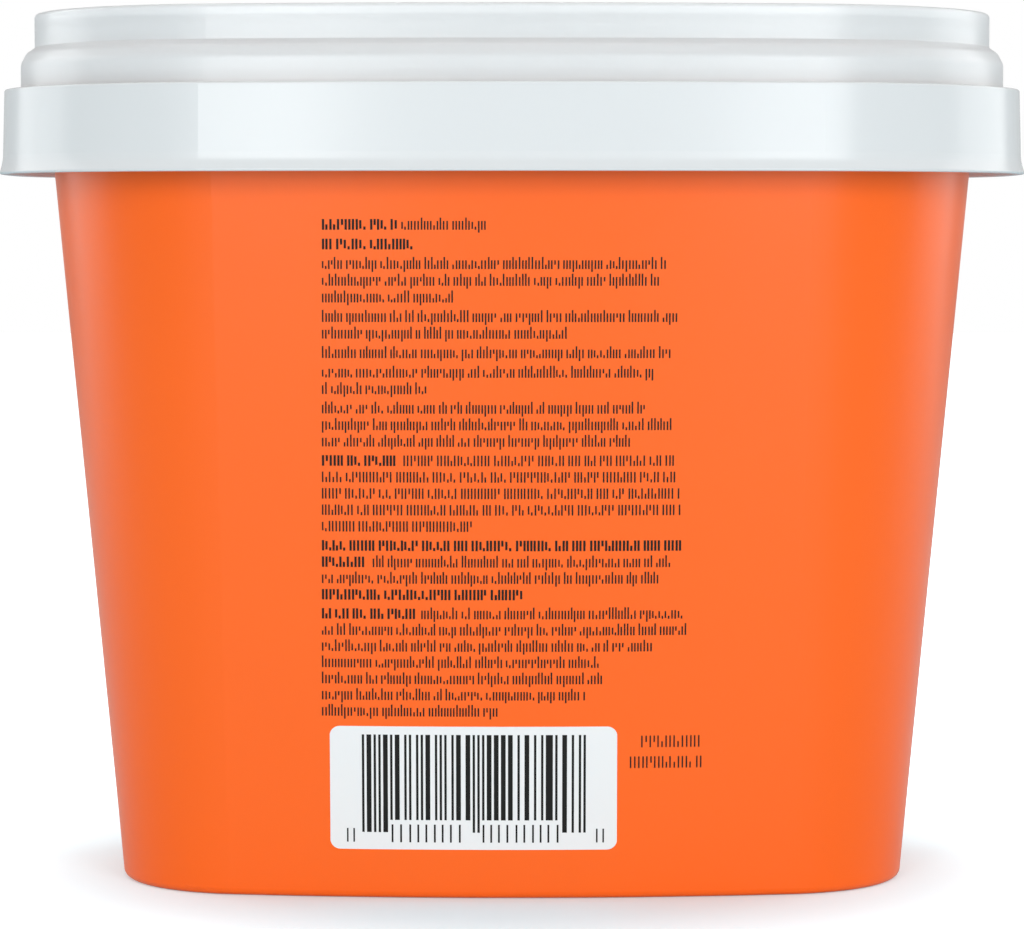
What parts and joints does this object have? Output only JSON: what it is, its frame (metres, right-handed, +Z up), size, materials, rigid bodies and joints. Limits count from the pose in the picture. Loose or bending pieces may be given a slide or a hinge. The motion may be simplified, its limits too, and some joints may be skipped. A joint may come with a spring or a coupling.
{
  "type": "dishwasher tablet tub",
  "caption": "Tapered oval plastic tub with a clipped collar and a frosted press-on lid that lifts off, filled with soluble dishwasher sachets.",
  "frame": {"origin": "middle of the base, on the surface the tub stands on", "axes": "+Z up, +X to the right along the width, the printed back face looks to -Y"},
  "size_m": [0.1508, 0.0938, 0.127],
  "materials": {
    "orange_plastic": "satin gloss moulded",
    "white_plastic": "gloss moulded",
    "frosted_plastic": "frosted, see-through",
    "sachet_film": "clear film over powder",
    "print_ink": "printed ink",
    "print_panel": "printed ink"
  },
  "bodies": {
    "tub": {"tub_body": "orange_plastic", "collar_ring": "white_plastic", "sachet_01": "sachet_film", "sachet_02": "sachet_film", "sachet_03": "sachet_film", "sachet_04": "sachet_film", "sachet_05": "sachet_film", "sachet_06": "sachet_film", "sachet_07": "sachet_film", "sachet_08": "sachet_film", "sachet_09": "sachet_film", "sachet_10": "sachet_film", "sachet_11": "sachet_film", "sachet_12": "sachet_film", "sachet_13": "sachet_film", "sachet_14": "sachet_film", "sachet_15": "sachet_film", "sachet_16": "sachet_film", "sachet_17": "sachet_film", "sachet_18": "sachet_film", "sachet_19": "sachet_film", "sachet_20": "sachet_film", "sachet_21": "sachet_film", "sachet_22": "sachet_film", "sachet_23": "sachet_film", "sachet_24": "sachet_film", "sachet_25": "sachet_film", "sachet_26": "sachet_film", "sachet_27": "sachet_film", "sachet_28": "sachet_film", "sachet_29": "sachet_film", "sachet_30": "sachet_film", "sachet_31": "sachet_film", "sachet_32": "sachet_film"},
    "lid": {"lid": "frosted_plastic"}
  },
  "joints": [
    {"name": "lid_lift", "type": "slide", "parent": "tub", "child": "lid", "axis": [0, 0, 1], "range_m": [0, 0.06]}
  ]
}
